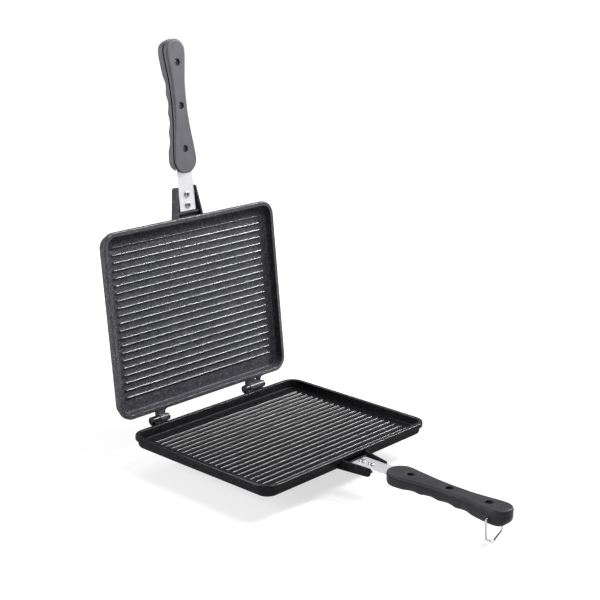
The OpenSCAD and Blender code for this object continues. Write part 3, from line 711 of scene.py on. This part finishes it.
# %% [markdown]
# ## Handles
#
# Each handle is two mouldings of phenolic resin, closed over the tang and held by three
# screws. Seen from the front it is a long lobe, a waist and a shorter lobe. Its back drops
# away from the seam towards the far end, and four shallow hollows along each of the back's
# edges give the fingers a grip. A handle could be sculpted, or drawn in half and mirrored.
# Here the body is a row of cross-sections, set closer on the round ends, because its width,
# back and hollows are then each one short formula of the distance from the handle's start.
# The cover is a stack of rings drawn in from its plan, so the groove along the seam and the
# rounded front edge run evenly all the way round.

# %% Width, back and seam of the handle
NEAR_HW, WAIST_HW, FAR_HW, WAIST_AT, NEAR_AT = 16.3, 9.9, 13.9, 88.0, 10.0
NEAR_CAP, FAR_CAP = 16.0, 13.3
WAIST_END = HANDLE_L - FAR_CAP
SEAM_START, SEAM_FALL, FRONT_DROP = 4.3, 4.8, 1.6
BACK_START, BACK_FALL, BEND_AT = 15.3, 3.4, 45.0
START_R, FAR_R, BACK_R = 9.0, 8.1, 4.6
HOLLOW, HOLLOW_L, HOLLOWS, HOLLOWS_FROM = 2.2, 21.0, 4, 25.0


def half_width(s):
    """Waist width, plus a share of each lobe's, under a quarter ellipse at each end."""
    near = ease(np.clip((WAIST_AT - s) / (WAIST_AT - NEAR_AT), 0, 1) ** 1.4)
    far = ease(np.clip((s - WAIST_AT) / (WAIST_END - WAIST_AT), 0, 1) ** 1.2)
    width = WAIST_HW + (NEAR_HW - WAIST_HW) * near + (FAR_HW - WAIST_HW) * far
    ends = np.clip((NEAR_CAP - s) / NEAR_CAP, 0, 1), np.clip((s - WAIST_END) / FAR_CAP, 0, 1)
    return width * np.sqrt(1 - ends[0] ** 2) * np.sqrt(1 - ends[1] ** 2)


def end_round(d, r):
    """How far a round edge of radius r draws in at a distance d from the end."""
    return r - np.sqrt(r * r - np.clip(r - d, 0, r) ** 2)


def seam(s):
    """The seam's drop below the rim plane: a straight line, falling to the far end."""
    return SEAM_START + SEAM_FALL * s / HANDLE_L


def back(s):
    """The back's drop: level at first, then easing down, less the rounding of both ends."""
    level = BACK_START + BACK_FALL * ease((s - BEND_AT) / (WAIST_END - BEND_AT))
    return level - end_round(s, START_R) - end_round(HANDLE_L - s, FAR_R)


def hollow(s):
    """Depth of the finger hollows: half waves of a sine, to the power 1.4 so that they meet
    in soft ridges."""
    t = (s - HOLLOWS_FROM) / HOLLOW_L
    return np.where((t < 0) | (t > HOLLOWS), 0, HOLLOW * np.abs(np.sin(np.pi * t)) ** 1.4)


quarter = np.linspace(0, np.pi / 2, 25)
stations = np.r_[NEAR_CAP * (1 - np.cos(quarter)), np.linspace(NEAR_CAP, WAIST_END, 150)[1:-1],
                 WAIST_END + FAR_CAP * np.sin(quarter)]
print("handle", HANDLE_L, "mm long,", round(2 * half_width(stations).max(), 1), "mm wide")


# %% Body of a handle
TIP_HW = 1.0                                    # narrower than this, a section has no steps


def handle_body():
    """Cross-sections from the seam down: straight sides, rounded into a flat back. A finger
    hollow widens the rounding and draws the sides in by a quarter of its depth."""
    s = stations[:, None]
    w = half_width(s)
    wide = w > TIP_HW
    r = np.minimum(BACK_R + hollow(s), 0.95 * w)
    a = np.linspace(0, np.pi / 2, 11)[None]
    dent = 0.25 * hollow(s) * wide
    x = np.hstack([w - 0.4 * wide, w, w - dent / 3, w - dent - r + r * np.cos(a)])
    top = seam(s)
    drop = np.hstack([top, top, top + 0.5, back(s) - r + r * np.sin(a)])
    x, drop = np.hstack([x, -x[:, ::-1]]), np.hstack([drop, drop[:, ::-1]])
    return skin(np.dstack([x, np.broadcast_to(HANDLE_Y - s, x.shape), PAN_H - drop]))


# %% Cover of a handle
FRONT_R, COVER_SINK = 2.8, 0.05


def handle_cover(groove, open_by):
    """Rings drawn in from the plan: groove, side, rounded edge, flat front.

    The cover starts a hair below the seam. Its first open_by millimetres are drawn in by the
    groove's depth, which makes the groove, and then it has the full width."""
    s = np.r_[stations, stations[-2:0:-1]]
    side = np.r_[np.full(len(stations), -1), np.full(len(stations) - 2, 1)]
    plan = np.stack([side * half_width(s), HANDLE_Y - s], -1)
    low = seam(s) - COVER_SINK
    step = low - open_by
    r = np.minimum(FRONT_R, step - FRONT_DROP - 0.3)
    a = np.linspace(0, np.pi / 2, 9)[:, None]
    zero = np.zeros((1, len(s)))
    inset = np.vstack([zero + groove, zero + groove, zero + 0.25, zero + 0.07, zero,
                       r * (1 - np.cos(a)), r[None] + 0.4])
    drop = np.vstack([low[None], step[None], step[None], step[None] - 0.07, step[None] - 0.25,
                      FRONT_DROP + r * (1 - np.sin(a)), zero + FRONT_DROP])
    rings = plan[None] - inset[..., None] * outward(plan)[None]
    return skin(np.dstack([rings, PAN_H - drop]), caps=(0, -1))


# %% [markdown]
# ## Screw recesses
#
# The screws sit at the bottom of round recesses that are moulded into the cover. Rings can't
# have holes, so the cover is drilled with a boolean cut, and the cutter's top flares out, which
# rounds the rim of each hole. The cut is applied at once, so the piece stays a plain mesh.

# %% Recesses over the screws
SCREW_FIRST, SCREW_PITCH = 26.9, 47.4
handle_screws = HANDLE_Y - SCREW_FIRST - SCREW_PITCH * np.arange(3)
SEAT_Z, RECESS_R, RECESS_RIM, CUTTER_TOP = TANG_FRONT + 1.4, 4.0, 0.4, 3


def drill(made, carry):
    """Cuts the recesses with lathe-turned cutters, whose flared tops round the holes' rims."""
    flare = np.linspace(0, np.pi / 2, 5)
    front, wide = PAN_H - FRONT_DROP, RECESS_R + RECESS_RIM
    rim = np.stack([RECESS_R + RECESS_RIM * (1 - np.cos(flare)),
                    front - RECESS_RIM * (1 - np.sin(flare))], -1)
    profile = np.vstack([[[0, SEAT_Z], [RECESS_R - 0.3, SEAT_Z], [RECESS_R, SEAT_Z + 0.3]], rim,
                         [[wide, front + CUTTER_TOP], [0, front + CUTTER_TOP]]])
    cutters = [laid(turned(profile, 72), PAN_AXES, (0, y, 0)) for y in handle_screws]
    cutter = bpy.data.objects.new("cutters", joined("cutters", carry(cutters)))
    bpy.context.scene.collection.objects.link(cutter)
    made.modifiers.clear()
    cut = made.modifiers.new("recesses", "BOOLEAN")
    cut.operation, cut.solver, cut.object = "DIFFERENCE", "EXACT", cutter
    cut_shape = made.evaluated_get(bpy.context.evaluated_depsgraph_get())
    done = bpy.data.meshes.new_from_object(cut_shape)
    made.modifiers.clear()
    made.data = done
    smooth_over(made)
    bpy.data.objects.remove(cutter)
    print(made.name, len(done.polygons), "faces after drilling")


# %% Both handles
# The groove along the seam is (depth, height): a fine line on the lower handle, which is seen
# from above, and a broad dark one on the upper handle.
LOWER_GROOVE, UPPER_GROOVE = (0.3, 0.5), (2.6, 1.9)
for half, body, carry, resin, groove in (("lower", "lower", list, lower_resin, LOWER_GROOVE),
                                         ("upper", "lid", opened, upper_resin, UPPER_GROOVE)):
    slot = half + "_handle_resin"
    piece(half + "_grip_back", carry([handle_body()]), resin, slot, body, half + "_handle_body")
    front = piece(half + "_grip_front", carry([handle_cover(*groove)]), resin, slot, body,
                  half + "_handle_cover")
    drill(front, carry)

# %% [markdown]
# ## Screws
#
# Pan-head screws with a cross recess, headed from steel wire. The shop way to draw one is a
# dome with a cross cut out of it. A grid of radius and angle does it without a cut: head and
# shank are one surface, and the recess is a dip in its height, worked out from the distance
# to a cross of two slots and softened at its edge, as a worn one is.

# %% Screws
SPOKES = 96
CROSS_L, CROSS_W, CROSS_DEEP, CROSS_SOFT = 0.5, 0.12, 0.6, 0.3


def screw(r_head, h_head, r_shank, length):
    """A flattened dome over a short side, sunk where the cross is, then the shank below."""
    share = np.sin(np.linspace(0, np.pi / 2, 30))[:, None]
    a = np.arange(SPOKES) * 2 * np.pi / SPOKES
    x, y = r_head * share * np.cos(a), r_head * share * np.sin(a)
    side = 0.4 * h_head
    slots = [np.maximum(np.abs(p) - CROSS_L * r_head, np.abs(q) - CROSS_W * r_head)
             for p, q in ((x, y), (y, x))]
    sunk = ease(0.5 - np.minimum(*slots) / CROSS_SOFT)
    z = side + (h_head - side) * np.sqrt(1 - share ** 2) - CROSS_DEEP * h_head * sunk
    shank = rounded([[r_head, side], [r_head, 0], [r_shank, 0], [r_shank, -length], [0, -length]],
                    [0, 0.15, 0.1, 0.5, 0], 3, True)[1:]
    low = np.dstack([np.outer(shank[:, 0], np.cos(a)), np.outer(shank[:, 0], np.sin(a)),
                     np.broadcast_to(shank[:, 1:], (len(shank), SPOKES))])
    return skin(np.concatenate([np.dstack([x, y, z]), low]))


tang_screw = screw(3.7, 1.9, 2.0, TANG_FRONT - BOSS_Z)
handle_screw = screw(3.4, 1.5, 1.7, 9.0)
# The handle screws take steels painted darker, as painted shade of the deep recesses they sit in.
for half, body, carry, recess_finish_painted_shade in (("lower", "lower", list, screw_painted_dark),
                                       ("upper", "lid", opened, screw_painted_dim)):
    for kind, shell, places, seat, finish in (
            ("tang", tang_screw, tang_screws, TANG_FRONT, screw_steel),
            ("handle", handle_screw, handle_screws, SEAT_Z, recess_finish_painted_shade)):
        for i, y in enumerate(places, 1):
            node = f"{half}_{kind}_screw_{i}"
            piece(node + "_turned", carry([laid(shell, PAN_AXES, (0, y, seat))]), finish,
                  "screw_steel", body, node)

# %% [markdown]
# ## Hanging loop
#
# A loop of drawn steel wire, bent to a blunt point so that it centres itself on a hook. Its
# two ends spring into the sides of the lower handle, and it hangs nearly straight down. A
# bevelled curve would do; a circle carried along the bent path gives the same tube, with
# its flat ends closed.

# %% Loop
WIRE_R, WIRE_GRIP, LEG_GAP = 1.1, 5, 3.2
FOOT_HW, LEG_L, LOOP_L = 12.9, 22.9, 30.2
PIVOT_S = HANDLE_L - 16.3
PIVOT = np.array([0, HANDLE_Y - PIVOT_S, PAN_H - 11.2])
SWING = math.radians(5)
grip = float(half_width(np.array(PIVOT_S)))
leg = grip + LEG_GAP + WIRE_R
path = rounded([[WIRE_GRIP - grip, 0], [-leg, 0], [-FOOT_HW, LEG_L], [0, LOOP_L],
                [FOOT_HW, LEG_L], [leg, 0], [grip - WIRE_GRIP, 0]], [0, 1.6, 3, 3.5, 3, 1.6, 0],
               8, True)
run = np.gradient(path, axis=0)
run /= np.linalg.norm(run, axis=1, keepdims=True)
a = np.arange(24) * 2 * np.pi / 24
x = path[:, :1] + WIRE_R * run[:, 1:] * np.cos(a)
down = path[:, 1:] - WIRE_R * run[:, :1] * np.cos(a)
aside = np.broadcast_to(WIRE_R * np.sin(a), x.shape)
wire = np.dstack([x, aside * math.cos(SWING) + down * math.sin(SWING),
                  aside * math.sin(SWING) - down * math.cos(SWING)])
piece("wire_loop", [laid(skin(wire, caps=(0, -1)), PAN_AXES, PIVOT)], wire_steel, "wire_steel",
      "loop", "hanging_loop")

# %% [markdown]
# ## Floor and light
#
# A pack shot: the pan lies on a wide sheet of white paper, in front of a white background.
# Paper lit to pure white would need so much light that the pan's colours wash out. So the
# paper is a mid grey that keeps the shadow, and its glow, which only the camera and mirror
# images see, lifts it to white. It glows less near the pan, where the shadow has to show.

# %% Floor
FLOOR_Z, PAPER_HALF = cad_box[0][2], 20.0
NEAR_GLOW, FAR_GLOW, MIRRORED_GLOW = 0.66, 0.96, 0.65
material, tree, output, where = new_material("white_paper")
paper_colour = add(tree, "ShaderNodeBsdfDiffuse", {"Color": linear("#b0b0b0")})
ray = add(tree, "ShaderNodeLightPath")
away = add(tree, "ShaderNodeVectorMath", {0: where}, operation="LENGTH")
sweep = add(tree, "ShaderNodeMapRange", {
    "Value": away.outputs["Value"], "From Min": 0.4, "From Max": 1.6, "To Min": NEAR_GLOW,
    "To Max": FAR_GLOW})
for_eye = add(tree, "ShaderNodeMath", {0: ray.outputs["Is Camera Ray"], 1: sweep.outputs[0]},
              operation="MULTIPLY")
mirrored = add(tree, "ShaderNodeMath", {0: ray.outputs["Is Glossy Ray"],
                                        1: ray.outputs["Is Transmission Ray"]})
for_gloss = add(tree, "ShaderNodeMath", {0: mirrored.outputs[0], 1: MIRRORED_GLOW},
                operation="MULTIPLY")
lift = add(tree, "ShaderNodeMath", {0: for_eye.outputs[0], 1: for_gloss.outputs[0]})
glow = add(tree, "ShaderNodeEmission", {"Strength": lift.outputs[0]})
both = add(tree, "ShaderNodeAddShader", {0: paper_colour.outputs[0], 1: glow.outputs[0]})
tree.links.new(both.outputs[0], output.inputs[0])
paper = bpy.data.meshes.new("paper_floor")
corners = PAPER_HALF * np.array([(-1, -1, 0), (1, -1, 0), (1, 1, 0), (-1, 1, 0)])
paper.from_pydata(corners + (0, 0, FLOOR_Z), [], [(0, 1, 2, 3)])
floor = bpy.data.objects.new("paper_floor", paper)
floor.data.materials.append(material)
bpy.context.scene.collection.objects.link(floor)
print("paper at", round(FLOOR_Z / MM, 2), "mm")

# %% World
# White to the camera. It lights the pan only faintly, so that the lamps can draw the form,
# and in mirror images it is a light grey.
AMBIENT, MIRRORED = 0.14, 0.45
world = bpy.data.worlds.new("studio")
world.use_nodes = True
tree = world.node_tree
tree.nodes.clear()
ray = add(tree, "ShaderNodeLightPath")
mirrored = add(tree, "ShaderNodeMath", {0: ray.outputs["Is Glossy Ray"],
                                        1: ray.outputs["Is Transmission Ray"]})
pale = add(tree, "ShaderNodeMapRange",
           {"Value": mirrored.outputs[0], "To Min": AMBIENT, "To Max": MIRRORED})
strength = add(tree, "ShaderNodeMath", {0: ray.outputs["Is Camera Ray"], 1: pale.outputs[0]},
               operation="MAXIMUM")
sky = add(tree, "ShaderNodeBackground", {"Color": (1, 1, 1, 1), "Strength": strength.outputs[0]})
add(tree, "ShaderNodeOutputWorld", {"Surface": sky.outputs[0]})
bpy.context.scene.world = world
print("world ambient", AMBIENT)

# %% [markdown]
# ## Lamps
#
# The ribs are long rounded rods, and a rod shows a lamp as one bright line for as far as the
# lamp's mirror image reaches. So the main lamp is a strip: long in the ribs' direction, to
# draw the lines from end to end, and narrow across it, to keep them thin. It stands where
# lid and lower half both mirror it to the camera. A broad side lamp lights the left-hand
# walls, a small one above gives the lid its change from light to dark, and one behind draws
# the far edges.

# %% Lamps
PAN_MIDDLE = np.array([0, 0, 0.1])


def soft_lamp(name, direction, along, size, power, distance=2.0):
    """An area lamp in a direction from the pan. Its local Y, the second of its sizes, lies
    along another direction, as nearly as facing the pan allows."""
    lamp = bpy.data.lights.new(name, "AREA")
    lamp.shape = "RECTANGLE"
    lamp.size, lamp.size_y = size
    lamp.energy = power
    z = np.array(direction, float)
    z /= np.linalg.norm(z)
    x = np.cross(along, z)
    x /= np.linalg.norm(x)
    turn = np.eye(4)
    turn[:3, 0], turn[:3, 1], turn[:3, 2] = x, np.cross(z, x), z
    turn[:3, 3] = PAN_MIDDLE + z * distance
    holder = bpy.data.objects.new(name, lamp)
    holder.matrix_world = turn.T
    bpy.context.scene.collection.objects.link(holder)
    print(name, power, "W at", turn[:3, 3].round(2))


soft_lamp("strip_lamp", (0.70, -0.3, 0.65), (0.65, 0, -0.7), (0.2, 1.4), 66)
soft_lamp("side_lamp", (-0.85, 0.45, 0.35), (0, 0, 1), (1.0, 1.0), 38)
soft_lamp("top_lamp", (0.1, -0.42, 0.9), (0, 1, 0), (0.36, 0.36), 5.8, 0.95)
soft_lamp("rear_lamp", (0.35, 0.62, 0.7), (1, 0, 0), (0.6, 0.6), 12)
bpy.context.scene.view_settings.view_transform = "Standard"
